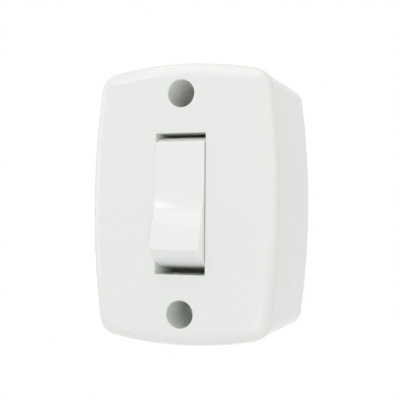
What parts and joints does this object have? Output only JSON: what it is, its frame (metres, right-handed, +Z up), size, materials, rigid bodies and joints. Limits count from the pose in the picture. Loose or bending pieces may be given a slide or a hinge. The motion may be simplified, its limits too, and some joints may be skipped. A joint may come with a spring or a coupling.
{
  "type": "surface mounted light switch",
  "caption": "Surface mounted light switch: a deep white case with gently bowed sides, a tall concave rocker in its front, and sunk holes above and below for the wall screws.",
  "frame": {"origin": "centre of the back face, midway between the wall screw holes", "axes": "+X to the right as seen from the room, +Y into the wall, +Z up; the front faces -Y"},
  "size_m": [0.0526, 0.0451, 0.0756],
  "materials": {
    "cover_plastic": "moulded white plastic with a soft sheen",
    "rocker_plastic": "moulded white plastic with a clear gloss",
    "plate_plastic": "plain moulded white plastic",
    "body_plastic": "moulded thermoset, dull cream",
    "insulator_board": "brown laminated board",
    "plunger_plastic": "natural white bearing plastic",
    "terminal_brass": "plain rolled brass",
    "contact_silver": "silver contact metal, lightly dulled",
    "plated_steel": "zinc plated steel",
    "spring_steel": "drawn spring wire"
  },
  "bodies": {
    "case": {"cover": "cover_plastic", "back_plate": "plate_plastic", "mechanism_body": "body_plastic", "pivot_pin": "plated_steel", "fixed_contact": "contact_silver", "common_terminal": "terminal_brass", "switched_terminal": "terminal_brass", "common_rivet": "terminal_brass", "insulator": "insulator_board", "common_screw": "plated_steel", "switched_screw": "plated_steel", "common_clamp_plate": "plated_steel", "switched_clamp_plate": "plated_steel", "fixing_screw_left": "plated_steel", "fixing_screw_right": "plated_steel"},
    "rocker": {"rocker": "rocker_plastic"},
    "plunger": {"plunger": "plunger_plastic", "plunger_spring": "spring_steel"},
    "seesaw": {"seesaw": "terminal_brass", "moving_contact": "contact_silver"}
  },
  "joints": [
    {"name": "rocker_tilt", "type": "hinge", "parent": "case", "child": "rocker", "pos_m": [0, -0.0295, 0], "axis": [1, 0, 0], "range_deg": [0, 18]},
    {"name": "plunger_slide", "type": "slide", "parent": "rocker", "child": "plunger", "axis": [0, -0.9877, 0.1564], "range_m": [0, 0.0008], "stiffness_N_per_m": 1000, "springref_m": -0.002, "deforming": ["plunger_spring"]},
    {"name": "seesaw_rock", "type": "hinge", "parent": "case", "child": "seesaw", "pos_m": [0, -0.0184, 0], "axis": [1, 0, 0], "range_deg": [-20, 0]}
  ],
  "couplings": [
    {"joint": "seesaw_rock", "follows": "rocker_tilt", "ratio": -0.88889}
  ]
}
